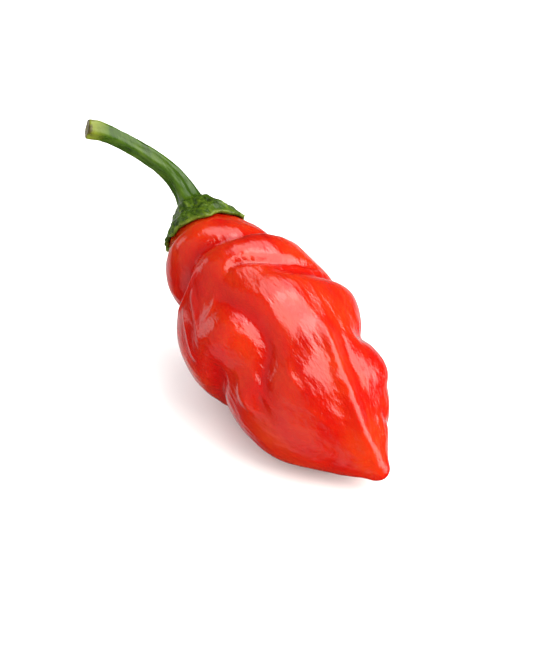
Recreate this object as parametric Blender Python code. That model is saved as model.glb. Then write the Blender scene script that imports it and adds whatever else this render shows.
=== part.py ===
"""A lobed red chilli pepper, as picked and lying on its side, in metres with +Z up.

Two pieces: the fruit, and the green calyx with its curved stem. The fruit lies on its belly along +X, with
its calyx end raised and its tip just over the surface. The tables give millimetres and degrees. A station is
the distance along the fruit's axis from the calyx rim to the tip. An angle goes round that axis from its
upper side, towards +Y.
"""

import bmesh
import bpy
import numpy as np

MM = 0.001

# How the fruit lies: the tip points down by this many degrees
TILT = 20.0
# How much of the lowest skin is pressed flat by the surface it rests on
PRESSED_FLAT = 0.22

# The fruit without its lobes: station, radius
FRUIT_PROFILE = [
    (-4.6, 0.0), (-4.3, 2.4), (-3.2, 4.8), (-1.2, 6.5), (1.5, 7.8), (5.0, 9.3), (9.0, 10.8), (14.0, 13.0),
    (20.0, 14.3), (26.0, 14.7), (32.0, 13.9), (38.0, 13.1), (43.0, 11.8), (47.0, 9.8), (51.0, 7.6),
    (54.6, 5.2), (57.5, 3.1), (59.4, 1.7), (60.0, 0.0),
]
# The fruit's bent middle line: station, shift upwards, shift towards +Y
FRUIT_CENTRE = [
    (-4.6, -0.2, -0.4), (10.0, -0.2, -0.4), (25.0, 0.2, -1.2), (40.0, 1.2, -1.8), (50.0, 1.3, -0.9),
    (60.0, 1.8, -0.7),
]
# Swellings of the skin: station, angle, reach along, reach round, height
LOBES = [
    (3.8, -108, 3.4, 8.0, 1.1),
    (4.0, -44, 2.8, 4.0, 1.4),
    (11.5, -34, 2.8, 4.0, 1.4),
    (12.2, 0, 3.2, 6.5, 1.5),
    (15.6, 36, 3.4, 5.5, 0.4),
    (20.5, -30, 3.0, 3.0, 0.7),
    (25.0, -4, 5.0, 5.5, 0.8),
    (25.5, -27, 4.0, 3.6, 0.9),
    (27.5, 62, 4.5, 5.0, 1.9),
    (19.5, -92, 6.0, 8.0, 2.0),
    (25.2, -62, 2.9, 4.2, 1.9),
    (39.5, -28, 2.0, 2.6, 0.5),
    (44.5, -23, 2.4, 2.6, 0.5),
    (42.4, 60, 3.2, 3.2, 1.3),
    (35.6, 62, 1.8, 3.0, 0.6),
    (53.6, -114, 2.4, 4.0, 0.4),
    (50.0, 26, 5.0, 2.6, -0.6),
    (36.5, -95, 3.4, 6.0, 0.4),
    (36.2, -70, 1.8, 2.0, 0.7),
    (46.5, -114, 5.5, 6.0, 1.9),
    (39.0, -46, 2.4, 3.0, 0.4),
    (45.5, -56, 3.2, 3.6, 0.7),
    (50.0, -34, 2.8, 3.0, 0.5),
    (46.0, 180, 7.0, 6.0, -2.0),
    (26.0, 158, 6.0, 5.0, 1.1),
    (25.0, 205, 6.0, 5.0, 1.1),
    (14.0, 120, 5.0, 8.0, 1.2),
    (33.0, 115, 6.0, 7.0, 1.3),
    (8.0, 175, 4.0, 8.0, 0.9),
]
# Folds between the lobes: depth (a ridge's is negative), half width, then the route as station, angle
FOLDS = [
    (1.7, 2.3, [(11.5, 110), (10.8, 80), (10.3, 50), (9.0, 24), (8.4, -8), (7.6, -27), (7.2, -48), (9.0, -62),
                (9.9, -79)]),
    (2.2, 2.4, [(8.0, -52), (9.3, -66), (10.0, -80), (10.2, -100), (10.2, -120), (10.2, -145)]),
    (0.9, 1.0, [(20.6, 60), (20.2, 42), (19.3, 25), (18.2, 8), (15.9, -14), (15.3, -24), (16.2, -31),
                (17.4, -37)]),
    (1.4, 2.2, [(23.5, 130), (24.4, 95), (23.6, 60), (22.4, 42), (21.2, 22), (19.6, 4), (17.4, -12)]),
    (1.5, 2.9, [(15.5, -50), (18.5, -44), (22.0, -39), (26.0, -34), (30.0, -33), (33.5, -42), (37.0, -62),
                (42.0, -78)]),
    (2.0, 2.8, [(30.0, -150), (29.3, -120), (29.0, -97), (28.8, -84), (27.6, -77), (25.2, -74)]),
    (0.5, 1.6, [(33.0, 26), (37.0, 21), (41.0, 18), (46.0, 16)]),
    (1.8, 2.6, [(32.5, 100), (35.0, 72), (36.2, 50), (37.0, 36)]),
    (0.3, 2.0, [(43.5, 85), (46.0, 60), (47.0, 38)]),
    (0.7, 1.8, [(51.5, 90), (51.5, 60), (51.0, 36)]),
    (0.5, 2.4, [(52.5, -120), (53.0, -90), (53.5, -60)]),
    (-1.1, 2.1, [(31.0, 12), (36.0, 7), (40.0, 3), (44.0, -2), (48.0, -6), (53.0, -12), (59.4, -18)]),
    (-0.6, 1.6, [(33.0, -72), (36.0, -77), (40.0, -78)]),
    (1.6, 3.0, [(9.0, 110), (11.0, 140), (15.0, 165), (19.0, 175)]),
    (1.8, 3.0, [(20.0, 95), (25.0, 105), (28.0, 130), (30.0, 150)]),
    (1.5, 3.0, [(18.0, -125), (20.0, -150), (18.0, -172)]),
    (1.4, 3.0, [(40.0, 90), (39.0, 120), (36.0, 150)]),
]
# The share of a fold's route over which it fades out at each end
FOLD_FADE = 0.22
# How much a degree weighs against a millimetre where a route is smoothed
ROUTE_DEGREE = 0.2
# Lobes and folds are this much weaker under the calyx, and whole from the second station on
CROWN_RELIEF, CROWN_STATIONS = 0.25, (-2.0, 2.0)
# They also die away where the radius falls below this, so that both ends are round
END_RADIUS = 2.5

# The middle line of calyx and stem: station, rise, shift towards +Y
STEM_LINE = [
    (0.0, 0.3, 0.5), (-4.0, 0.6, 1.1), (-7.8, 1.0, 1.7), (-10.2, 1.2, 2.0), (-13.0, 1.5, 1.9),
    (-16.2, 1.9, 1.2), (-20.5, 2.6, -0.9), (-24.6, 3.6, -4.0), (-27.4, 4.5, -6.8), (-28.8, 4.8, -9.0),
]
# Distance along that line, radius: the calyx, its shoulder, the stem and its swollen cut end
GREEN_PROFILE = [
    (0.0, 8.5), (1.6, 7.9), (3.2, 6.6), (4.6, 5.3), (5.8, 4.6), (6.6, 4.1), (7.2, 3.2), (7.9, 2.65),
    (9.5, 2.3), (12.0, 2.05), (16.0, 1.8), (22.0, 1.66), (27.0, 1.62), (30.0, 1.72), (31.6, 1.9),
]
# The calyx rim: its mean station, how far it leans, and the angle it leans to
RIM_STATION, RIM_LEAN, RIM_LEAN_TO = -0.2, 2.1, 60.0
# Waves of the rim: height, count, start in degrees
RIM_WAVES = [(0.35, 7, 40), (0.22, 12, 115)]
RIM_THICKNESS = 0.62
# The calyx clears the fruit by this much
CALYX_GAP = 0.3
# The calyx is thicker by this much away from its rim
CALYX_SWELL = 0.5
# The calyx follows the skin at its rim, and its own rings from this distance on
CALYX_BLEND = 4.0
# The calyx's outside follows the skin up to this station
CALYX_FOLLOWS_TO = -3.6
NECK_DISTANCE = 8.5
# Ridges of calyx and stem: share of the radius, count, start in degrees
CALYX_RIBS = [(0.07, 5, 17), (0.04, 11, 57)]
STEM_RIDGES = [(0.07, 5, 23)]
# The scar on the cut end, from its edge inwards: distance past the end, share of the radius
SCAR = [(0.25, 0.9), (0.2, 0.6), (0.05, 0.25)]

FRUIT_ROWS, FRUIT_SIDES = 60, 72
GREEN_SIDES = 44
CALYX_INSIDE_ROWS, CALYX_OUTSIDE_ROWS, STEM_ROWS = 7, 14, 22

RED = (0.80, 0.035, 0.012)
GREEN = (0.075, 0.19, 0.028)


def clear_scene():
    for thing in list(bpy.data.objects):
        bpy.data.objects.remove(thing, do_unlink=True)


def between(a, b, low, high, t):
    """a at t = low, b at t = high, and evenly between them."""
    return ((high - t) * a + (t - low) * b) / (high - low)


def smooth_curve(points, per_span=20):
    """A centripetal Catmull-Rom curve through the points."""
    p = np.asarray(points, float)
    p = np.vstack([2 * p[0] - p[1], p, 2 * p[-1] - p[-2]])
    spans = []
    for a, b, c, d in zip(p, p[1:], p[2:], p[3:]):
        ka = 0.0
        kb = ka + np.linalg.norm(b - a) ** 0.5
        kc = kb + np.linalg.norm(c - b) ** 0.5
        kd = kc + np.linalg.norm(d - c) ** 0.5
        t = np.linspace(kb, kc, per_span, endpoint=False)[:, None]
        ab, bc, cd = between(a, b, ka, kb, t), between(b, c, kb, kc, t), between(c, d, kc, kd, t)
        spans.append(between(between(ab, bc, ka, kc, t), between(bc, cd, kb, kd, t), kb, kc, t))
    return np.vstack(spans + [p[-2:-1]])


def spaced(line, count):
    """The line again, as count points at equal distances."""
    walked = np.concatenate([[0.0], np.cumsum(np.linalg.norm(np.diff(line, axis=0), axis=1))])
    marks = np.linspace(0.0, walked[-1], count)
    return np.stack([np.interp(marks, walked, column) for column in line.T], 1)


def directions(line):
    """The line's unit direction at each of its points."""
    steps = np.gradient(line, axis=0)
    return steps / np.linalg.norm(steps, axis=1)[:, None]


def eased(x):
    """0 below 0, 1 above 1, and smooth between."""
    x = np.clip(x, 0.0, 1.0)
    return x * x * (3.0 - 2.0 * x)


def arc(angle, other, radius):
    """The distance round the fruit from one angle to another."""
    return np.radians((angle - other + 180.0) % 360.0 - 180.0) * radius


def body_line(count=1200):
    """The plain fruit's outline from crown to tip: station, radius, and the way out along each."""
    (first, r_first), (last, r_last) = FRUIT_PROFILE[1], FRUIT_PROFILE[-2]
    per_span = 24
    both_halves = [(first, -r_first), *FRUIT_PROFILE, (last, -r_last)]
    line = spaced(smooth_curve(both_halves, per_span)[per_span:-per_span], count)
    along = directions(line)
    return line[:, 0], line[:, 1], -along[:, 1], along[:, 0]


BODY = body_line()


def plain_radius(station):
    return np.interp(station, BODY[0], BODY[1])


def fold_share(station, angle, radius, route, half_width):
    """1 in the middle of a fold, 0 away from it. A round kernel smears the route, which leaves no kinks."""
    scale = np.array([1.0, ROUTE_DEGREE])
    line = smooth_curve(np.asarray(route, float) * scale, 12)
    steps = np.linalg.norm(np.diff(line, axis=0), axis=1)
    line = spaced(line, max(8, int(3.2 * steps.sum() / half_width))) / scale
    middles = (line[1:] + line[:-1]) / 2
    lengths = np.hypot(np.diff(line[:, 0]), np.radians(np.diff(line[:, 1])) * plain_radius(middles[:, 0]))
    part = (np.arange(len(middles)) + 0.5) / len(middles)
    weights = eased(part / FOLD_FADE) * eased((1.0 - part) / FOLD_FADE) * lengths / (half_width * 4 / 3)
    share = np.zeros(np.broadcast(station, angle).shape)
    for (at_station, at_angle), weight in zip(middles, weights):
        far = (station - at_station) ** 2 + arc(angle, at_angle, radius) ** 2
        share += weight * (1.0 + far / half_width**2) ** -2.5
    return share


def relief(station, angle):
    """How far lobes and folds raise the skin over the plain fruit."""
    radius = np.maximum(plain_radius(station), 0.5)
    height = np.zeros(np.broadcast(station, angle).shape)
    for at_station, at_angle, reach_along, reach_round, rise in LOBES:
        along, across = (station - at_station) / reach_along, arc(angle, at_angle, radius) / reach_round
        height += rise * np.exp(-0.5 * (along**2 + across**2))
    for depth, half_width, route in FOLDS:
        height -= depth * fold_share(station, angle, radius, route, half_width)
    low, high = CROWN_STATIONS
    crown = CROWN_RELIEF + (1.0 - CROWN_RELIEF) * eased((station - low) / (high - low))
    return height * crown * eased(radius / END_RADIUS)


def to_world(station, rise, shift):
    """The place, in metres, of a point given along the fruit's axis, over it and beside it."""
    tilt = np.radians(TILT)
    x = station * np.cos(tilt) + rise * np.sin(tilt)
    z = rise * np.cos(tilt) - station * np.sin(tilt)
    return np.stack(np.broadcast_arrays(x, shift, z), -1) * MM


def skin(station, angle, lift=0.0):
    """Points of the fruit's skin at the plain fruit's stations, raised by lift."""
    _, _, out_s, out_r = (np.interp(station, BODY[0], column) for column in BODY)
    height = relief(station, angle) + lift
    s = station + height * out_s
    r = plain_radius(station) + height * out_r
    centre = smooth_curve(FRUIT_CENTRE)
    rise, shift = (np.interp(s, centre[:, 0], centre[:, k]) for k in (1, 2))
    turn = np.radians(angle)
    return to_world(s, rise + r * np.cos(turn), shift + r * np.sin(turn))


def waves(angle, table):
    return sum(size * np.cos(count * (np.radians(angle - start))) for size, count, start in table)


def fruit_rings():
    marks = np.linspace(0, len(BODY[0]) - 1, FRUIT_ROWS + 2).round().astype(int)[1:-1]
    angles = np.arange(FRUIT_SIDES)[None, :] * 360.0 / FRUIT_SIDES
    return skin(BODY[0][marks][:, None], angles), skin(BODY[0][[0, -1]], 0.0)


def carried_frames(tangents):
    """Two directions across the line at each point, carried along it without twist."""
    ups = np.zeros_like(tangents)
    up = np.array([0.0, 1.0, 0.0])
    for i, tangent in enumerate(tangents):
        up = up - (up @ tangent) * tangent
        up /= np.linalg.norm(up)
        ups[i] = up
    return ups, np.cross(ups, tangents)


def green_rings():
    """Rings of calyx and stem: inside from the crown to the rim, over the rim, and up to the scar."""
    angles = np.arange(GREEN_SIDES)[None, :] * 360.0 / GREEN_SIDES
    rim = RIM_STATION + RIM_LEAN * np.cos(np.radians(angles - RIM_LEAN_TO)) + waves(angles, RIM_WAVES)

    # The inside's rows are evenly spread from the crown to the rim
    places = np.arange(len(BODY[0]))
    inside = np.linspace(0.0, 1.0, CALYX_INSIDE_ROWS + 1)[1:, None]
    cup = skin(np.interp(inside * np.interp(rim, BODY[0], places), places, BODY[0]), angles, CALYX_GAP)
    pole = skin(np.array([BODY[0][0]]), 0.0, CALYX_GAP)

    line = spaced(smooth_curve(STEM_LINE), 400)
    walked = np.concatenate([[0.0], np.cumsum(np.linalg.norm(np.diff(line, axis=0), axis=1))])
    on_calyx = np.linspace(0.0, NECK_DISTANCE, CALYX_OUTSIDE_ROWS, endpoint=False)
    on_stem = np.linspace(NECK_DISTANCE, walked[-1], STEM_ROWS)
    marks = np.concatenate([on_calyx, on_stem])
    centres, tangents = (np.stack([np.interp(marks, walked, column) for column in table.T], 1)
                         for table in (line, directions(line)))
    ups, sides = carried_frames(tangents / np.linalg.norm(tangents, axis=1)[:, None])
    profile = smooth_curve(GREEN_PROFILE)
    marks = marks[:, None]
    calyx_share = eased((NECK_DISTANCE - marks) / (NECK_DISTANCE - CALYX_BLEND))
    ribs = calyx_share * eased(marks / CALYX_BLEND) * waves(angles, CALYX_RIBS)
    radius = np.interp(marks, profile[:, 0], profile[:, 1])
    radius = radius * (1.0 + ribs + (1.0 - calyx_share) * waves(angles, STEM_RIDGES))
    turn = np.radians(angles)[..., None]

    def ring(centre, up, side, radii):
        local = centre + radii[..., None] * (np.cos(turn) * up + np.sin(turn) * side)
        return to_world(local[..., 0], local[..., 1], local[..., 2])

    own = ring(centres[:, None, :], ups[:, None, :], sides[:, None, :], radius)
    follow = np.clip(marks / CALYX_BLEND, 0.0, 1.0)
    lift = CALYX_GAP + RIM_THICKNESS + CALYX_SWELL * eased(follow)
    following = skin(between(rim, CALYX_FOLLOWS_TO, 0.0, 1.0, follow), angles, lift)
    outside = between(following, own, 0.0, 1.0, eased(follow)[..., None])

    end, along, up, side = centres[-1], tangents[-1], ups[-1], sides[-1]
    scar = [ring(end + along * past, up, side, radius[-1:] * share) for past, share in SCAR]
    rings = np.concatenate([cup, outside, *scar])
    return rings, np.concatenate([pole, rings[-1:].mean(1)])


def closed_mesh(name, rings, poles):
    """One closed body: rings joined by quads, with a fan of triangles to the pole at each end."""
    rows, sides = rings.shape[:2]
    bm = bmesh.new()
    grid = [[bm.verts.new(point) for point in ring] for ring in rings]
    first, last = (bm.verts.new(pole) for pole in poles)
    for j in range(sides):
        k = (j + 1) % sides
        bm.faces.new((first, grid[0][j], grid[0][k]))
        bm.faces.new((grid[-1][j], last, grid[-1][k]))
        for i in range(rows - 1):
            bm.faces.new((grid[i][j], grid[i + 1][j], grid[i + 1][k], grid[i][k]))
    bmesh.ops.recalc_face_normals(bm, faces=bm.faces)
    mesh = bpy.data.meshes.new(name)
    bm.to_mesh(mesh)
    bm.free()
    return mesh


def join_flat_faces(mesh):
    """Makes each pressed flat spot one face."""
    bm = bmesh.new()
    bm.from_mesh(mesh)
    flat = [face for face in bm.faces if all(vertex.co.z == 0.0 for vertex in face.verts)]
    bmesh.ops.dissolve_faces(bm, faces=flat, use_verts=True)
    bmesh.ops.triangulate(bm, faces=bm.faces)
    bm.to_mesh(mesh)
    bm.free()


def material(name, colour, roughness):
    made = bpy.data.materials.new(name)
    made.use_nodes = True
    shader = made.node_tree.nodes["Principled BSDF"]
    shader.inputs["Base Color"].default_value = (*colour, 1.0)
    shader.inputs["Roughness"].default_value = roughness
    shader.inputs["Metallic"].default_value = 0.0
    made.diffuse_color = (*colour, 1.0)
    return made


def add_piece(mesh, look):
    mesh.materials.append(look)
    mesh.shade_smooth()
    piece = bpy.data.objects.new(mesh.name, mesh)
    bpy.context.scene.collection.objects.link(piece)
    return piece


def main():
    clear_scene()
    fruit, fruit_poles = fruit_rings()
    green, green_poles = green_rings()
    # The surface lies a little over the lowest skin, and the origin is under the middle of the whole box
    everything = np.concatenate([fruit.reshape(-1, 3), green.reshape(-1, 3)])
    low, high = everything.min(0), everything.max(0)
    origin = (low + high) / 2
    origin[2] = low[2] + PRESSED_FLAT * MM
    fruit = fruit - origin
    fruit[..., 2] = np.maximum(fruit[..., 2], 0.0)
    fruit_mesh = closed_mesh("fruit", fruit, fruit_poles - origin)
    join_flat_faces(fruit_mesh)
    add_piece(fruit_mesh, material("red_skin", RED, 0.22))
    green_mesh = closed_mesh("stem_calyx", green - origin, green_poles - origin)
    add_piece(green_mesh, material("green_stem", GREEN, 0.45))


main()
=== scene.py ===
"""The look of a lobed red chilli pepper, lying on its belly on a plain pale floor in soft light.

The calyx end is raised, and the tip is just over the floor. Two pieces take the place of the solids: the
fruit, and the green calyx with its curved stem. Both follow the solids' own shape and add fine wrinkles and
ridges. The tables give millimetres and degrees. A station is the distance along the fruit's axis from the
calyx rim to the tip. An angle goes round that axis from its upper side, towards +Y.
"""

import bpy
import numpy as np
from mathutils import Matrix, Vector


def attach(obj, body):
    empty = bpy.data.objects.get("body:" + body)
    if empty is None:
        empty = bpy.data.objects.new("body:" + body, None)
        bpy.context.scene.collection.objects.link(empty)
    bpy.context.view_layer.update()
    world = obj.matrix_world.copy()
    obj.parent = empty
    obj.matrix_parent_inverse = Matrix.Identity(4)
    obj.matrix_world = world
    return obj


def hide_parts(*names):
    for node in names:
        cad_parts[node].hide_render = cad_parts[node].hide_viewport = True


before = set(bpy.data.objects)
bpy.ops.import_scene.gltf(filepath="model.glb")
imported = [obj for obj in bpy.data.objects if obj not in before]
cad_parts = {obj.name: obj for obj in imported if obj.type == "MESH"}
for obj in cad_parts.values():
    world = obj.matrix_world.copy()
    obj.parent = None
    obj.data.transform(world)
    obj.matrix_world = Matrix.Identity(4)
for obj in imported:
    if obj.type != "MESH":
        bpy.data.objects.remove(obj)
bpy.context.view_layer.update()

# A millimetre in metres
MM = 0.001

# How the fruit lies: the tip points down by this many degrees
TILT = 20.0
# How much of the lowest skin is pressed flat by the surface it rests on
PRESSED_FLAT = 0.22

# The fruit without its lobes: station, radius
FRUIT_PROFILE = [
    (-4.6, 0.0), (-4.3, 2.4), (-3.2, 4.8), (-1.2, 6.5), (1.5, 7.8), (5.0, 9.3), (9.0, 10.8), (14.0, 13.0),
    (20.0, 14.3), (26.0, 14.7), (32.0, 13.9), (38.0, 13.1), (43.0, 11.8), (47.0, 9.8), (51.0, 7.6),
    (54.6, 5.2), (57.5, 3.1), (59.4, 1.7), (60.0, 0.0),
]
# The fruit's bent middle line: station, shift upwards, shift towards +Y
FRUIT_CENTRE = [
    (-4.6, -0.2, -0.4), (10.0, -0.2, -0.4), (25.0, 0.2, -1.2), (40.0, 1.2, -1.8), (50.0, 1.3, -0.9),
    (60.0, 1.8, -0.7),
]
# Swellings of the skin: station, angle, reach along, reach round, height
LOBES = [
    (3.8, -108, 3.4, 8.0, 1.1),
    (4.0, -44, 2.8, 4.0, 1.4),
    (11.5, -34, 2.8, 4.0, 1.4),
    (12.2, 0, 3.2, 6.5, 1.5),
    (15.6, 36, 3.4, 5.5, 0.4),
    (20.5, -30, 3.0, 3.0, 0.7),
    (25.0, -4, 5.0, 5.5, 0.8),
    (25.5, -27, 4.0, 3.6, 0.9),
    (27.5, 62, 4.5, 5.0, 1.9),
    (19.5, -92, 6.0, 8.0, 2.0),
    (25.2, -62, 2.9, 4.2, 1.9),
    (39.5, -28, 2.0, 2.6, 0.5),
    (44.5, -23, 2.4, 2.6, 0.5),
    (42.4, 60, 3.2, 3.2, 1.3),
    (35.6, 62, 1.8, 3.0, 0.6),
    (53.6, -114, 2.4, 4.0, 0.4),
    (50.0, 26, 5.0, 2.6, -0.6),
    (36.5, -95, 3.4, 6.0, 0.4),
    (36.2, -70, 1.8, 2.0, 0.7),
    (46.5, -114, 5.5, 6.0, 1.9),
    (39.0, -46, 2.4, 3.0, 0.4),
    (45.5, -56, 3.2, 3.6, 0.7),
    (50.0, -34, 2.8, 3.0, 0.5),
    (46.0, 180, 7.0, 6.0, -2.0),
    (26.0, 158, 6.0, 5.0, 1.1),
    (25.0, 205, 6.0, 5.0, 1.1),
    (14.0, 120, 5.0, 8.0, 1.2),
    (33.0, 115, 6.0, 7.0, 1.3),
    (8.0, 175, 4.0, 8.0, 0.9),
]
# Folds between the lobes: depth (a ridge's is negative), half width, then the route as station, angle
FOLDS = [
    (1.7, 2.3, [(11.5, 110), (10.8, 80), (10.3, 50), (9.0, 24), (8.4, -8), (7.6, -27), (7.2, -48), (9.0, -62),
                (9.9, -79)]),
    (2.2, 2.4, [(8.0, -52), (9.3, -66), (10.0, -80), (10.2, -100), (10.2, -120), (10.2, -145)]),
    (0.9, 1.0, [(20.6, 60), (20.2, 42), (19.3, 25), (18.2, 8), (15.9, -14), (15.3, -24), (16.2, -31),
                (17.4, -37)]),
    (1.4, 2.2, [(23.5, 130), (24.4, 95), (23.6, 60), (22.4, 42), (21.2, 22), (19.6, 4), (17.4, -12)]),
    (1.5, 2.9, [(15.5, -50), (18.5, -44), (22.0, -39), (26.0, -34), (30.0, -33), (33.5, -42), (37.0, -62),
                (42.0, -78)]),
    (2.0, 2.8, [(30.0, -150), (29.3, -120), (29.0, -97), (28.8, -84), (27.6, -77), (25.2, -74)]),
    (0.5, 1.6, [(33.0, 26), (37.0, 21), (41.0, 18), (46.0, 16)]),
    (1.8, 2.6, [(32.5, 100), (35.0, 72), (36.2, 50), (37.0, 36)]),
    (0.3, 2.0, [(43.5, 85), (46.0, 60), (47.0, 38)]),
    (0.7, 1.8, [(51.5, 90), (51.5, 60), (51.0, 36)]),
    (0.5, 2.4, [(52.5, -120), (53.0, -90), (53.5, -60)]),
    (-1.1, 2.1, [(31.0, 12), (36.0, 7), (40.0, 3), (44.0, -2), (48.0, -6), (53.0, -12), (59.4, -18)]),
    (-0.6, 1.6, [(33.0, -72), (36.0, -77), (40.0, -78)]),
    (1.6, 3.0, [(9.0, 110), (11.0, 140), (15.0, 165), (19.0, 175)]),
    (1.8, 3.0, [(20.0, 95), (25.0, 105), (28.0, 130), (30.0, 150)]),
    (1.5, 3.0, [(18.0, -125), (20.0, -150), (18.0, -172)]),
    (1.4, 3.0, [(40.0, 90), (39.0, 120), (36.0, 150)]),
]
# The share of a fold's route over which it fades out at each end
FOLD_FADE = 0.22
# How much a degree weighs against a millimetre where a route is smoothed
ROUTE_DEGREE = 0.2
# Lobes and folds are this much weaker under the calyx, and whole from the second station on
CROWN_RELIEF, CROWN_STATIONS = 0.25, (-2.0, 2.0)
# They also die away where the radius falls below this, so that both ends are round
END_RADIUS = 2.5
# Distances round the fruit are reckoned with a radius of at least this
LEAST_RADIUS = 0.5
# Points that smooth curves have between two given points: in general, in the outline, in a fold's route
CURVE_STEPS, OUTLINE_STEPS, ROUTE_STEPS = 20, 24, 12
# Points of the evenly spaced outline, and of the middle line of calyx and stem
OUTLINE_POINTS, STEM_POINTS = 1200, 400
# A fold is a row of round dabs: the fewest of them, and how many there are in each half width of its length
FEWEST_DABS, DABS_IN_HALF_WIDTH = 8, 3.2
# How fast a dab falls off, and the width, in half widths, that a long row of them adds up to
DAB_POWER, DAB_WIDTH = -2.5, 4.0 / 3.0

# The middle line of calyx and stem: station, rise, shift towards +Y
STEM_LINE = [
    (0.0, 0.3, 0.5), (-4.0, 0.6, 1.1), (-7.8, 1.0, 1.7), (-10.2, 1.2, 2.0), (-13.0, 1.5, 1.9),
    (-16.2, 1.9, 1.2), (-20.5, 2.6, -0.9), (-24.6, 3.6, -4.0), (-27.4, 4.5, -6.8), (-28.8, 4.8, -9.0),
]
# Distance along that line, radius: the calyx, its shoulder, the stem and its swollen cut end
GREEN_PROFILE = [
    (0.0, 8.5), (1.6, 7.9), (3.2, 6.6), (4.6, 5.3), (5.8, 4.6), (6.6, 4.1), (7.2, 3.2), (7.9, 2.65),
    (9.5, 2.3), (12.0, 2.05), (16.0, 1.8), (22.0, 1.66), (27.0, 1.62), (30.0, 1.72), (31.6, 1.9),
]
# The calyx rim: its mean station, how far it leans, and the angle it leans to
RIM_STATION, RIM_LEAN, RIM_LEAN_TO = -0.2, 2.1, 60.0
# Waves of the rim: height, count, start in degrees
RIM_WAVES = [(0.35, 7, 40), (0.22, 12, 115)]
# How thick the calyx is at its rim
RIM_THICKNESS = 0.62
# The calyx clears the fruit by this much
CALYX_GAP = 0.3
# The calyx is thicker by this much away from its rim
CALYX_SWELL = 0.5
# The calyx follows the skin at its rim, and its own rings from this distance on
CALYX_BLEND = 4.0
# The calyx's outside follows the skin up to this station
CALYX_FOLLOWS_TO = -3.6
# The stem begins at this distance
NECK_DISTANCE = 8.5
# Ridges of calyx and stem: share of the radius, count, start in degrees
CALYX_RIBS = [(0.07, 5, 17), (0.04, 11, 57)]
STEM_RIDGES = [(0.07, 5, 23)]
# The scar on the cut end, from its edge inwards: distance past the end, share of the radius
SCAR = [(0.25, 0.9), (0.2, 0.6), (0.05, 0.25)]

# Rows and sides of the two meshes
FRUIT_ROWS, FRUIT_SIDES = 260, 360
CALYX_INSIDE_ROWS, CALYX_OUTSIDE_ROWS, STEM_ROWS, GREEN_SIDES = 40, 70, 120, 180
# What the scar's points carry in place of their distance from the rim
SCAR_MARK = 60.0

# Fine wrinkles of the skin: height, wavelength along, wavelength round, seed
SKIN_WRINKLES = [(0.06, 11.0, 6.0, 21), (0.022, 7.0, 2.6, 3), (0.012, 3.4, 1.4, 8)]
# Fine wrinkles of the green piece
GREEN_WRINKLES = [(0.07, 4.5, 1.2, 5), (0.04, 2.4, 0.7, 12)]
# The stem keeps this share of them
STEM_WRINKLES_LEFT = 0.35
WAVES_IN_A_WRINKLE = 48
# Fine raised lines on the skin: height, half width, then the route as station, angle
FINE_RIDGES = [
    (0.4, 0.7, [(10.8, -44), (12.4, -58), (13.2, -74), (13.0, -95)]),
    (0.35, 0.7, [(12.5, -58), (16.0, -63), (20.0, -67), (25.0, -70)]),
    (0.3, 0.6, [(14.0, -74), (19.0, -79), (25.0, -84)]),
    (0.2, 0.6, [(17.0, -43), (19.7, -52), (20.6, -62)]),
    (0.3, 0.8, [(33.0, -58), (35.5, -61), (38.0, -64), (42.0, -66)]),
    (0.25, 0.8, [(30.5, -64), (32.5, -68), (34.5, -76)]),
    (0.2, 0.7, [(36.0, -30), (39.0, -36), (43.0, -38)]),
    (0.2, 0.8, [(43.0, -46), (47.0, -42), (51.0, -42)]),
]

# The view: where the camera stands round the object and over the horizon, in degrees, and how far off it is
VIEW_AZIMUTH, VIEW_ELEVATION, VIEW_DISTANCE = 54.5, 37.0, 450.0
# The camera's focal length and the width of its sensor
LENS, SENSOR = 132.3, 36.0
# Where the rim's middle is in the picture: to the right of its middle and over it, at the object's distance
RIM_RIGHT, RIM_UP = -14.07, 16.71

# The soft light over and behind the object: azimuth, elevation, distance in metres, half angles across and up
KEY_PLACE, KEY_HALVES = (130.0, 47.0, 0.6), (32.0, 36.0)
KEY_RADIANCE, KEY_COLOUR = 4.8, (1.0, 0.98, 0.9)
# A weak low light from the front right, unseen in gloss, lifts the shadow under the tip
FILL_PLACE, FILL_HALVES, FILL_RADIANCE = (85.0, 20.0, 0.6), (24.0, 14.0), 3.0
# The surroundings light the scene from all sides, and are dimmer in the gloss
SURROUNDINGS, SURROUNDINGS_IN_GLOSS = 1.3, 0.05
# Paler places that the gloss sees: azimuth and elevation, outer and inner edge in degrees, radiance
PANELS = [
    ((-8.0, 30.0), (42.0, 32.0), 0.35),
    ((-66.0, 12.0), (16.0, 8.0), 1.6),
    ((15.0, -22.0), (36.0, 16.0), 0.7),
    ((137.0, -3.0), (24.0, 15.0), 3.6),
    ((210.0, 63.0), (28.0, 16.0), 3.2),
    ((-95.0, -28.0), (30.0, 12.0), 0.6),
    ((212.0, -26.0), (26.0, 10.0), 0.7),
]
WHITE = (1.0, 1.0, 1.0, 1.0)
# Half the floor's side, in metres
FLOOR_HALF = 3.0

# Noises: how many swings in a millimetre along the fruit's axis and across it, and how much detail
RED_BLOTCHES, CREPE, PORES = (0.07, 0.12, 3.0), (0.45, 1.1, 3.0), (2.4, 2.8, 2.0)
GREEN_BLOTCHES, GREEN_CREASES, GREEN_GRAIN = (0.12, 0.7, 4.0), (0.22, 1.2, 4.0), (0.5, 2.4, 4.0)
EVEN_PATCHES, RIM_PATCHES, FLOOR_PATCHES = (0.5, 0.5, 3.0), (0.25, 0.25, 3.0), (0.01, 0.01, 3.0)
NOISE_ROUGHNESS = 0.55
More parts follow.
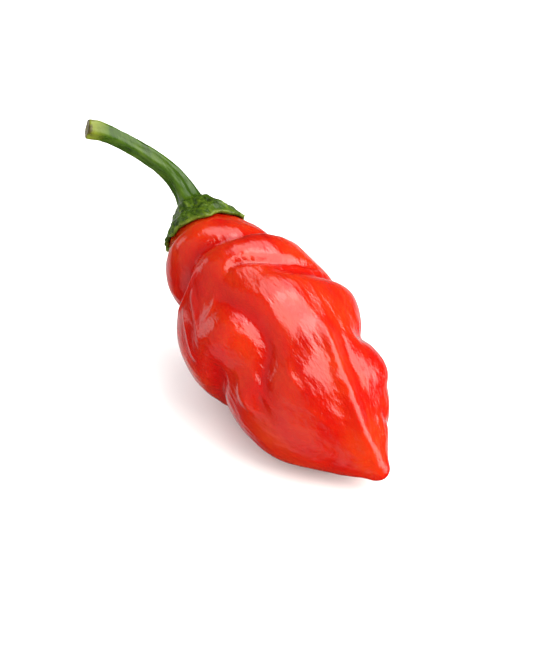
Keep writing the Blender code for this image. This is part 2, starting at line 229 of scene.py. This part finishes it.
# Colours of those noises: the noise's value, then linear red, green and blue
RED_COLOURS = [(0.38, (0.32, 0.0035, 0.0008)), (0.62, (0.37, 0.0175, 0.002))]
# The calyx's colours follow the noise of its creases: painted shade, darkest in the creases, palest on the
# ribs
CALYX_CREASE_SHADE_COLOURS = [(0.35, (0.01, 0.024, 0.0005)), (0.5, (0.028, 0.058, 0.001)), (0.7, (0.075, 0.118, 0.003))]
STEM_COLOURS = [(0.3, (0.013, 0.036, 0.0005)), (0.5, (0.026, 0.062, 0.001)), (0.75, (0.056, 0.102, 0.002))]
FLOOR_COLOURS = [(0.3, (0.93, 0.93, 0.93)), (0.7, (0.95, 0.95, 0.95))]
# Single colours: linear red, green and blue, then 1
# The folds' red is painted shade, darker and deeper than the skin's own red
FOLD_PAINTED_SHADE_RED, RIM_GREEN = (0.35, 0.0006, 0.0003, 1.0), (0.12, 0.16, 0.015, 1.0)
CUT_END_GREEN, SCAR_BROWN = (0.15, 0.175, 0.012, 1.0), (0.11, 0.09, 0.02, 1.0)
DARK_BROWN = (0.035, 0.022, 0.006, 1.0)
# Ranges: a low and a high value, then what each of them becomes
# From the depth in a fold to the share of the painted shade: a darker, deeper red in the folds
FOLD_PAINTED_SHADE_RANGE = (0.1, 1.4, 0.0, 0.85)
# From the place along the object, in metres, to the strength of the creping
CREPE_STRENGTH = (-4.0 * MM, 8.0 * MM, 0.3, 0.55)
# From the distance from the rim to shares: calyx, rim, cut end, scar and browned edge
CALYX_SHARE, RIM_SHARE = (6.0, 8.5, 1.0, 0.0), (0.1, 0.8, 1.0, 0.0)
CUT_END_SHARE, SCAR_SHARE = (29.6, 32.6, 0.0, 0.75), (40.0, 58.0, 0.0, 1.0)
BROWNED_SHARE = (32.3, 33.0, 0.0, 0.9)
# From a noise to how whole the pale rim and the browned edge are
RIM_BREAKS, BROWNED_BREAKS = (0.4, 0.6, 0.1, 1.0), (0.48, 0.58, 0.0, 1.0)
# From the distance from the rim to the height of the creases, in metres
CREASE_HEIGHT = (6.0, 8.5, 0.35 * MM, 0.05 * MM)
# From a noise to the roughness
RED_ROUGHNESS, GREEN_ROUGHNESS = (0.3, 0.7, 0.09, 0.16), (0.3, 0.7, 0.22, 0.34)
# Heights and strengths of bumps
PORE_HEIGHT, PORE_STRENGTH = 0.02 * MM, 0.6
CREPE_HEIGHT = 0.3 * MM
GRAIN_HEIGHT, GRAIN_STRENGTH = 0.08 * MM, 0.6
CREASE_STRENGTH = 0.8
# How the skins bend light, and how far light spreads in the red one, in millimetres for red, green and blue
RED_IOR, GREEN_IOR = 1.48, 1.37
RED_DEPTH_SHARE, RED_DEPTHS = 0.7, (4.0, 0.7, 0.4)
FLOOR_ROUGHNESS = 0.7
# Places of the colour mixer's factor and two colours, and of the colour that it gives out
MIX_FACTOR, MIX_FIRST, MIX_SECOND, MIX_RESULT = 0, 6, 7, 2


def between(a, b, low, high, t):
    """a at t = low, b at t = high, and evenly between them."""
    return ((high - t) * a + (t - low) * b) / (high - low)


def smooth_curve(points, per_span=CURVE_STEPS):
    """A centripetal Catmull-Rom curve through the points."""
    p = np.asarray(points, float)
    p = np.vstack([2 * p[0] - p[1], p, 2 * p[-1] - p[-2]])
    spans = []
    for a, b, c, d in zip(p, p[1:], p[2:], p[3:]):
        ka = 0.0
        kb = ka + np.linalg.norm(b - a) ** 0.5
        kc = kb + np.linalg.norm(c - b) ** 0.5
        kd = kc + np.linalg.norm(d - c) ** 0.5
        t = np.linspace(kb, kc, per_span, endpoint=False)[:, None]
        ab, bc, cd = between(a, b, ka, kb, t), between(b, c, kb, kc, t), between(c, d, kc, kd, t)
        spans.append(between(between(ab, bc, ka, kc, t), between(bc, cd, kb, kd, t), kb, kc, t))
    return np.vstack(spans + [p[-2:-1]])


def spaced(line, count):
    """The line again, as count points at equal distances."""
    walked = np.concatenate([[0.0], np.cumsum(np.linalg.norm(np.diff(line, axis=0), axis=1))])
    marks = np.linspace(0.0, walked[-1], count)
    return np.stack([np.interp(marks, walked, column) for column in line.T], 1)


def directions(line):
    """The line's unit direction at each of its points."""
    steps = np.gradient(line, axis=0)
    return steps / np.linalg.norm(steps, axis=1)[:, None]


def eased(x):
    """0 below 0, 1 above 1, and smooth between."""
    x = np.clip(x, 0.0, 1.0)
    return x * x * (3.0 - 2.0 * x)


def arc(angle, other, radius):
    """The distance round the fruit from one angle to another."""
    return np.radians((angle - other + 180.0) % 360.0 - 180.0) * radius


def body_line():
    """The plain fruit's outline from crown to tip: station, radius, and its outward direction along both."""
    (first, r_first), (last, r_last) = FRUIT_PROFILE[1], FRUIT_PROFILE[-2]
    both_halves = [(first, -r_first), *FRUIT_PROFILE, (last, -r_last)]
    line = spaced(smooth_curve(both_halves, OUTLINE_STEPS)[OUTLINE_STEPS:-OUTLINE_STEPS], OUTLINE_POINTS)
    along = directions(line)
    return line[:, 0], line[:, 1], -along[:, 1], along[:, 0]


BODY = body_line()


def plain_radius(station):
    """The plain fruit's radius at a station."""
    return np.interp(station, BODY[0], BODY[1])


def arc_radius(station):
    """The radius for distances round the fruit, which doesn't vanish at the ends."""
    return np.maximum(plain_radius(station), LEAST_RADIUS)


def fold_share(station, angle, radius, route, half_width):
    """1 in the middle of a fold, 0 away from it. Round dabs smear the route, which leaves no kinks."""
    scale = np.array([1.0, ROUTE_DEGREE])
    line = smooth_curve(np.asarray(route, float) * scale, ROUTE_STEPS)
    steps = np.linalg.norm(np.diff(line, axis=0), axis=1)
    line = spaced(line, max(FEWEST_DABS, int(DABS_IN_HALF_WIDTH * steps.sum() / half_width))) / scale
    middles = (line[1:] + line[:-1]) / 2
    lengths = np.hypot(np.diff(line[:, 0]), np.radians(np.diff(line[:, 1])) * plain_radius(middles[:, 0]))
    part = (np.arange(len(middles)) + 0.5) / len(middles)
    weights = eased(part / FOLD_FADE) * eased((1.0 - part) / FOLD_FADE) * lengths / (half_width * DAB_WIDTH)
    share = np.zeros(np.broadcast(station, angle).shape)
    for (at_station, at_angle), weight in zip(middles, weights):
        far = (station - at_station) ** 2 + arc(angle, at_angle, radius) ** 2
        share += weight * (1.0 + far / half_width**2) ** DAB_POWER
    return share


def end_fade(station):
    """How much of its lobes and folds the fruit keeps at a station."""
    low, high = CROWN_STATIONS
    crown = CROWN_RELIEF + (1.0 - CROWN_RELIEF) * eased((station - low) / (high - low))
    return crown * eased(arc_radius(station) / END_RADIUS)


def relief(station, angle):
    """How far lobes and folds raise the skin over the plain fruit."""
    radius = arc_radius(station)
    height = np.zeros(np.broadcast(station, angle).shape)
    for at_station, at_angle, reach_along, reach_round, rise in LOBES:
        along, across = (station - at_station) / reach_along, arc(angle, at_angle, radius) / reach_round
        height += rise * np.exp(-0.5 * (along**2 + across**2))
    for depth, half_width, route in FOLDS:
        height -= depth * fold_share(station, angle, radius, route, half_width)
    return height * end_fade(station)


def ripples(along, turn, radius, table):
    """Fine wrinkles: random waves in space, longer along the axis than round it."""
    height = np.zeros(np.broadcast(along, turn).shape)
    place = np.stack(np.broadcast_arrays(along, radius * np.cos(turn), radius * np.sin(turn)), -1)
    for rise, wave_along, wave_round, seed in table:
        draw = np.random.default_rng(seed)
        ways = draw.normal(size=(WAVES_IN_A_WRINKLE, 3))
        ways /= np.linalg.norm(ways, axis=1)[:, None]
        ways *= 2.0 * np.pi / np.array([wave_along, wave_round, wave_round])
        starts = draw.uniform(0.0, 2.0 * np.pi, WAVES_IN_A_WRINKLE)
        for way, start in zip(ways, starts):
            height += rise * (2.0 / WAVES_IN_A_WRINKLE) ** 0.5 * np.cos(place @ way + start)
    return height


def to_world(station, rise, shift):
    """The place, in metres, of a point given along the fruit's axis, over it and beside it."""
    tilt = np.radians(TILT)
    x = station * np.cos(tilt) + rise * np.sin(tilt)
    z = rise * np.cos(tilt) - station * np.sin(tilt)
    return np.stack(np.broadcast_arrays(x, shift, z), -1) * MM


def skin(station, angle, lift=0.0):
    """Points of the fruit's skin at the plain fruit's stations, raised by lift."""
    _, _, out_s, out_r = (np.interp(station, BODY[0], column) for column in BODY)
    height = relief(station, angle) + lift
    s = station + height * out_s
    r = plain_radius(station) + height * out_r
    centre = smooth_curve(FRUIT_CENTRE)
    rise, shift = (np.interp(s, centre[:, 0], centre[:, k]) for k in (1, 2))
    turn = np.radians(angle)
    return to_world(s, rise + r * np.cos(turn), shift + r * np.sin(turn))


def waves(angle, table):
    """Waves round the axis, added up: each has a size, a count and the angle where it is highest."""
    return sum(size * np.cos(count * (np.radians(angle - start))) for size, count, start in table)


def fruit_rings():
    """Rings of the skin from crown to tip, with its wrinkles, and how deep in a fold each point is."""
    marks = np.linspace(0, len(BODY[0]) - 1, FRUIT_ROWS + 2).round().astype(int)[1:-1]
    station = BODY[0][marks][:, None]
    angles = np.arange(FRUIT_SIDES)[None, :] * 360.0 / FRUIT_SIDES
    radius = arc_radius(station)
    wrinkles = ripples(station, np.radians(angles), radius, SKIN_WRINKLES)
    for rise, half_width, route in FINE_RIDGES:
        wrinkles += rise * fold_share(station, angles, radius, route, half_width)
    wrinkles *= end_fade(station)
    # How deep in a fold each point is, which the skin's painted shade follows
    depth = np.zeros_like(wrinkles)
    for down, half_width, route in FOLDS:
        depth += max(down, 0.0) * fold_share(station, angles, radius, route, half_width)
    return skin(station, angles, wrinkles), skin(BODY[0][[0, -1]], 0.0), depth


def carried_frames(tangents):
    """Two directions across the line at each point, carried along it without twist."""
    ups = np.zeros_like(tangents)
    up = np.array([0.0, 1.0, 0.0])
    for i, tangent in enumerate(tangents):
        up = up - (up @ tangent) * tangent
        up /= np.linalg.norm(up)
        ups[i] = up
    return ups, np.cross(ups, tangents)


def calyx_inside(rim, angles):
    """The calyx's inside: rows evenly spread from the crown to the rim, and the point at the crown."""
    places = np.arange(len(BODY[0]))
    inside = np.linspace(0.0, 1.0, CALYX_INSIDE_ROWS + 1)[1:, None]
    cup = skin(np.interp(inside * np.interp(rim, BODY[0], places), places, BODY[0]), angles, CALYX_GAP)
    return cup, skin(np.array([BODY[0][0]]), 0.0, CALYX_GAP)


def green_line():
    """The middle line at each row of the outside: distance, place, and the direction along it."""
    line = spaced(smooth_curve(STEM_LINE), STEM_POINTS)
    walked = np.concatenate([[0.0], np.cumsum(np.linalg.norm(np.diff(line, axis=0), axis=1))])
    on_calyx = np.linspace(0.0, NECK_DISTANCE, CALYX_OUTSIDE_ROWS, endpoint=False)
    on_stem = np.linspace(NECK_DISTANCE, walked[-1], STEM_ROWS)
    marks = np.concatenate([on_calyx, on_stem])
    centres, tangents = (np.stack([np.interp(marks, walked, column) for column in table.T], 1)
                         for table in (line, directions(line)))
    return marks[:, None], centres, tangents


def green_radii(marks, angles):
    """The radius of calyx and stem at each row and angle, ribbed and wrinkled, and its wrinkles alone."""
    profile = smooth_curve(GREEN_PROFILE)
    calyx_share = eased((NECK_DISTANCE - marks) / (NECK_DISTANCE - CALYX_BLEND))
    ribs = calyx_share * eased(marks / CALYX_BLEND) * waves(angles, CALYX_RIBS)
    radius = np.interp(marks, profile[:, 0], profile[:, 1])
    fine = ripples(marks, np.radians(angles), radius, GREEN_WRINKLES)
    fine *= between(STEM_WRINKLES_LEFT, 1.0, 0.0, 1.0, calyx_share)
    return radius * (1.0 + ribs + (1.0 - calyx_share) * waves(angles, STEM_RIDGES)) + fine, fine


def ring(centre, up, side, radii, turn):
    """Points round a middle, at these radii and turns, across the directions up and side."""
    local = centre + radii[..., None] * (np.cos(turn)[..., None] * up + np.sin(turn)[..., None] * side)
    return to_world(local[..., 0], local[..., 1], local[..., 2])


def green_rings():
    """Rings of calyx and stem: inside from the crown to the rim, over the rim, and up to the scar."""
    angles = np.arange(GREEN_SIDES)[None, :] * 360.0 / GREEN_SIDES
    turn = np.radians(angles)
    rim = RIM_STATION + RIM_LEAN * np.cos(np.radians(angles - RIM_LEAN_TO)) + waves(angles, RIM_WAVES)
    cup, pole = calyx_inside(rim, angles)

    marks, centres, tangents = green_line()
    ups, sides = carried_frames(tangents / np.linalg.norm(tangents, axis=1)[:, None])
    radii, fine = green_radii(marks, angles)
    own = ring(centres[:, None, :], ups[:, None, :], sides[:, None, :], radii, turn)
    follow = np.clip(marks / CALYX_BLEND, 0.0, 1.0)
    lift = CALYX_GAP + RIM_THICKNESS + CALYX_SWELL * eased(follow) + fine
    following = skin(between(rim, CALYX_FOLLOWS_TO, 0.0, 1.0, follow), angles, lift)
    outside = between(following, own, 0.0, 1.0, eased(follow)[..., None])

    scar = [ring(centres[-1] + tangents[-1] * past, ups[-1], sides[-1], radii[-1:] * share, turn)
            for past, share in SCAR]
    rings = np.concatenate([cup, outside, *scar])
    poles = np.concatenate([pole, rings[-1:].mean(1)])
    from_rim = np.concatenate([np.zeros(CALYX_INSIDE_ROWS), marks[:, 0], np.full(len(SCAR), SCAR_MARK)])
    return rings, poles, np.broadcast_to(from_rim[:, None], rings.shape[:2])


def closed_mesh(name, rings, poles, attribute, values):
    """One closed body: rings joined by quads, with a fan of triangles to the pole at each end."""
    rows, sides = rings.shape[:2]
    grid = np.arange(rows * sides).reshape(rows, sides)
    turned = np.roll(grid, -1, 1)
    quads = np.stack([grid[:-1], turned[:-1], turned[1:], grid[1:]], -1).reshape(-1, 4)
    first, last = rows * sides, rows * sides + 1
    fans = [(first, b, a) for a, b in zip(grid[0], turned[0])]
    fans += [(last, a, b) for a, b in zip(grid[-1], turned[-1])]
    mesh = bpy.data.meshes.new(name)
    mesh.from_pydata(np.concatenate([rings.reshape(-1, 3), poles]).tolist(), [], quads.tolist() + fans)
    mesh.shade_smooth()
    layer = mesh.attributes.new(attribute, "FLOAT", "POINT")
    layer.data.foreach_set("value", np.concatenate([values.ravel(), values[0, :1], values[-1, :1]]))
    return mesh


class Nodes:
    """A material's node tree, with short words for the nodes used here."""

    def __init__(self, name):
        """A new material of this name, with its one shader."""
        self.material = bpy.data.materials.new(name)
        self.material.use_nodes = True
        self.tree = self.material.node_tree
        self.shader = self.tree.nodes["Principled BSDF"]

    def add(self, kind, links=(), **settings):
        """A node with these settings, and with a link or a value for each socket in links."""
        node = self.tree.nodes.new("ShaderNode" + kind)
        for key, value in settings.items():
            setattr(node, key, value)
        for socket, source in dict(links).items():
            self.fill(node.inputs[socket], source)
        return node

    def fill(self, socket, source):
        """Links the socket to another, or gives it a value."""
        if isinstance(source, bpy.types.NodeSocket):
            self.tree.links.new(source, socket)
        else:
            socket.default_value = source

    def place(self, along, across):
        """Object coordinates in millimetres turned along the fruit's axis, and shrunk along and across it."""
        coordinates = self.add("TexCoord").outputs["Object"]
        turned = self.add("Mapping", {"Vector": coordinates, "Rotation": (0.0, np.radians(-TILT), 0.0)})
        sizes = (along / MM, across / MM, across / MM)
        return self.add("Mapping", {"Vector": turned.outputs[0], "Scale": sizes}).outputs[0]

    def object_x(self):
        """The place along the object, in metres, from the stem towards the tip."""
        return self.add("SeparateXYZ", {"Vector": self.add("TexCoord").outputs["Object"]}).outputs["X"]

    def noise(self, along, across, detail):
        """Soft random values from 0 to 1."""
        return self.add("TexNoise", {"Vector": self.place(along, across), "Scale": 1.0, "Detail": detail,
                                     "Roughness": NOISE_ROUGHNESS}).outputs["Fac"]

    def ramp(self, factor, stops):
        """The colours of the stops, blended from one to the next as the factor grows."""
        node = self.add("ValToRGB", {"Fac": factor})
        elements = node.color_ramp.elements
        while len(elements) < len(stops):
            elements.new(0.5)
        for element, (position, colour) in zip(elements, stops):
            element.position = position
            element.color = (*colour, 1.0)
        return node.outputs["Color"]

    def spread(self, value, low, high, to_low, to_high):
        """One range of values turned into another."""
        return self.add("MapRange", {"Value": value, "From Min": low, "From Max": high, "To Min": to_low,
                                     "To Max": to_high}).outputs[0]

    def times(self, first, second):
        """The product of two values."""
        return self.add("Math", {0: first, 1: second}, operation="MULTIPLY").outputs[0]

    def mix(self, factor, first, second):
        """The first colour where the factor is 0, and the second where it is 1."""
        sources = {MIX_FACTOR: factor, MIX_FIRST: first, MIX_SECOND: second}
        return self.add("Mix", sources, data_type="RGBA").outputs[MIX_RESULT]

    def attribute(self, name):
        """A value that the mesh's points carry."""
        return self.add("Attribute", attribute_name=name).outputs["Fac"]

    def bump(self, height, distance, strength, under=None):
        """The skin's direction with these bumps, on top of other bumps if there are some."""
        links = {"Height": height, "Distance": distance, "Strength": strength}
        if under is not None:
            links["Normal"] = under
        return self.add("Bump", links).outputs["Normal"]

    def set(self, **values):
        """Gives the shader's sockets their links and values."""
        for key, value in values.items():
            self.fill(self.shader.inputs[key.replace("_", " ")], value)


def red_skin():
    """Waxy red skin: orange-red on lobes, deeper red folds as painted shade, creped most towards the tip."""
    nodes = Nodes("red_skin")
    colour = nodes.ramp(nodes.noise(*RED_BLOTCHES), RED_COLOURS)
    # Painted shade: the deeper a point lies in a fold, the darker and deeper its red
    colour = nodes.mix(nodes.spread(nodes.attribute("fold"), *FOLD_PAINTED_SHADE_RANGE), colour, FOLD_PAINTED_SHADE_RED)
    normal = nodes.bump(nodes.noise(*PORES), PORE_HEIGHT, PORE_STRENGTH)
    creped = nodes.noise(*CREPE)
    normal = nodes.bump(creped, CREPE_HEIGHT, nodes.spread(nodes.object_x(), *CREPE_STRENGTH), normal)
    roughness = nodes.spread(nodes.noise(*EVEN_PATCHES), *RED_ROUGHNESS)
    nodes.set(Base_Color=colour, Roughness=roughness, Normal=normal, IOR=RED_IOR,
              Subsurface_Weight=RED_DEPTH_SHARE, Subsurface_Radius=RED_DEPTHS, Subsurface_Scale=MM)
    return nodes.material


def green_colour(nodes, from_rim, blotches, fine):
    """Blotched stem, calyx with painted shade in its creases, a pale broken rim, a yellower cut end and a
    brown scar.
    """
    # Painted shade: the calyx is darker where the same noise makes its bumps low, in the creases
    shaded_creases = nodes.ramp(fine, CALYX_CREASE_SHADE_COLOURS)
    colour = nodes.mix(nodes.spread(from_rim, *CALYX_SHARE), nodes.ramp(blotches, STEM_COLOURS), shaded_creases)
    breaks = nodes.spread(nodes.noise(*RIM_PATCHES), *RIM_BREAKS)
    colour = nodes.mix(nodes.times(nodes.spread(from_rim, *RIM_SHARE), breaks), colour, RIM_GREEN)
    colour = nodes.mix(nodes.spread(from_rim, *CUT_END_SHARE), colour, CUT_END_GREEN)
    colour = nodes.mix(nodes.spread(from_rim, *SCAR_SHARE), colour, SCAR_BROWN)
    breaks = nodes.spread(nodes.noise(*EVEN_PATCHES), *BROWNED_BREAKS)
    return nodes.mix(nodes.times(nodes.spread(from_rim, *BROWNED_SHARE), breaks), colour, DARK_BROWN)


def green_skin():
    """Green of calyx and stem, with a fine grain and with creases that are highest on the calyx."""
    nodes = Nodes("green_stem")
    blotches, fine = nodes.noise(*GREEN_BLOTCHES), nodes.noise(*GREEN_CREASES)
    from_rim = nodes.attribute("from_rim")
    colour = green_colour(nodes, from_rim, blotches, fine)
    normal = nodes.bump(nodes.noise(*GREEN_GRAIN), GRAIN_HEIGHT, GRAIN_STRENGTH)
    normal = nodes.bump(fine, nodes.spread(from_rim, *CREASE_HEIGHT), CREASE_STRENGTH, normal)
    roughness = nodes.spread(blotches, *GREEN_ROUGHNESS)
    nodes.set(Base_Color=colour, Roughness=roughness, Normal=normal, IOR=GREEN_IOR)
    return nodes.material


def floor_look():
    """A nearly white floor, a little paler in places."""
    nodes = Nodes("pale_floor")
    colour = nodes.ramp(nodes.noise(*FLOOR_PATCHES), FLOOR_COLOURS)
    nodes.set(Base_Color=colour, Roughness=FLOOR_ROUGHNESS)
    return nodes.material


def add_object(data, name):
    """An object of the scene with this mesh, camera or light."""
    thing = bpy.data.objects.new(name, data)
    bpy.context.scene.collection.objects.link(thing)
    return thing


def add_piece(mesh, name, node, look):
    """A piece that takes the place of the solid of one node."""
    mesh.materials.append(look)
    piece = add_object(mesh, name)
    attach(piece, "root")
    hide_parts(node)
    return piece


def add_pepper():
    """The two pieces in the solids' place. Returns where the rim's middle is."""
    fruit, fruit_poles, depth = fruit_rings()
    green, green_poles, from_rim = green_rings()
    everything = np.concatenate([fruit.reshape(-1, 3), green.reshape(-1, 3)])
    low, high = everything.min(0), everything.max(0)
    origin = (low + high) / 2
    origin[2] = low[2] + PRESSED_FLAT * MM
    fruit = fruit - origin
    fruit[..., 2] = np.maximum(fruit[..., 2], 0.0)
    fruit_mesh = closed_mesh("fruit_skin", fruit, fruit_poles - origin, "fold", depth)
    add_piece(fruit_mesh, "fruit_skin", "fruit", red_skin())
    green_mesh = closed_mesh("green_top", green - origin, green_poles - origin, "from_rim", from_rim)
    add_piece(green_mesh, "green_top", "stem_calyx", green_skin())
    return Vector(to_world(0.0, 0.0, 0.0) - origin)


def facing(azimuth, elevation):
    """The turn of a camera or light that looks at the object from there. Azimuth 0 is -Y, and 90 is +X."""
    a, e = np.radians(azimuth), np.radians(elevation)
    back = Vector((np.sin(a) * np.cos(e), -np.cos(a) * np.cos(e), np.sin(e)))
    right = Vector((np.cos(a), np.sin(a), 0.0))
    return Matrix((right, back.cross(right), back)).transposed()


def add_camera(rim):
    """The camera, placed so that the calyx rim's middle, at rim, is in its place in the picture."""
    turned = facing(VIEW_AZIMUTH, VIEW_ELEVATION)
    data = bpy.data.cameras.new("camera")
    data.lens, data.sensor_width = LENS, SENSOR
    camera = add_object(data, "camera")
    from_rim = turned @ Vector((-RIM_RIGHT, -RIM_UP, VIEW_DISTANCE)) * MM
    camera.matrix_world = Matrix.Translation(rim + from_rim) @ turned.to_4x4()
    bpy.context.scene.camera = camera


def add_soft_box(name, place, halves, radiance, colour):
    """A rectangular light that faces the object. Its power is its radiance times pi and its area."""
    azimuth, elevation, distance = place
    data = bpy.data.lights.new(name, "AREA")
    data.shape = "RECTANGLE"
    data.size, data.size_y = (2.0 * distance * np.tan(np.radians(half)) for half in halves)
    data.energy = radiance * np.pi * data.size * data.size_y
    data.color = colour
    turned = facing(azimuth, elevation)
    light = add_object(data, name)
    light.matrix_world = Matrix.Translation(turned @ Vector((0.0, 0.0, distance))) @ turned.to_4x4()
    return light


def panel_radiance(tree, direction, towards, edges, radiance):
    """What a paler place gives in a direction: its radiance inside, none outside, and eased between."""
    nearness = tree.nodes.new("ShaderNodeVectorMath")
    nearness.operation = "DOT_PRODUCT"
    nearness.inputs[1].default_value = facing(*towards) @ Vector((0.0, 0.0, 1.0))
    tree.links.new(direction, nearness.inputs[0])
    panel = tree.nodes.new("ShaderNodeMapRange")
    panel.interpolation_type = "SMOOTHSTEP"
    for socket, edge in zip(("From Min", "From Max"), edges):
        panel.inputs[socket].default_value = np.cos(np.radians(edge))
    panel.inputs["To Max"].default_value = radiance
    tree.links.new(nearness.outputs["Value"], panel.inputs["Value"])
    return panel.outputs["Result"]


def add_world():
    """Even white surroundings, which the gloss sees as dim ones with the paler places."""
    world = bpy.data.worlds.new("studio")
    world.use_nodes = True
    tree = world.node_tree
    new, join = tree.nodes.new, tree.links.new
    background = tree.nodes["Background"]
    background.inputs["Color"].default_value = WHITE
    direction = new("ShaderNodeTexCoord").outputs["Generated"]
    in_gloss = new("ShaderNodeValue").outputs[0]
    in_gloss.default_value = SURROUNDINGS_IN_GLOSS
    for towards, edges, radiance in PANELS:
        both = new("ShaderNodeMath")
        join(in_gloss, both.inputs[0])
        join(panel_radiance(tree, direction, towards, edges, radiance), both.inputs[1])
        in_gloss = both.outputs[0]
    rays = new("ShaderNodeLightPath")
    strength = new("ShaderNodeMapRange")
    strength.inputs["To Min"].default_value = SURROUNDINGS
    join(in_gloss, strength.inputs["To Max"])
    join(rays.outputs["Is Glossy Ray"], strength.inputs["Value"])
    join(strength.outputs["Result"], background.inputs["Strength"])
    bpy.context.scene.world = world


def add_floor():
    """The floor that the pepper lies on, unseen in its gloss."""
    mesh = bpy.data.meshes.new("floor")
    corners = [(-1, -1), (1, -1), (1, 1), (-1, 1)]
    mesh.from_pydata([(x * FLOOR_HALF, y * FLOOR_HALF, 0.0) for x, y in corners], [], [(0, 1, 2, 3)])
    mesh.materials.append(floor_look())
    floor = add_object(mesh, "floor")
    floor.visible_glossy = False


def main():
    """The pepper, the camera, the lights and what is round them."""
    rim = add_pepper()
    add_camera(rim)
    add_soft_box("key", KEY_PLACE, KEY_HALVES, KEY_RADIANCE, KEY_COLOUR)
    fill = add_soft_box("fill", FILL_PLACE, FILL_HALVES, FILL_RADIANCE, KEY_COLOUR)
    fill.visible_glossy = False
    add_world()
    add_floor()
    bpy.context.scene.view_settings.view_transform = "Standard"


main()
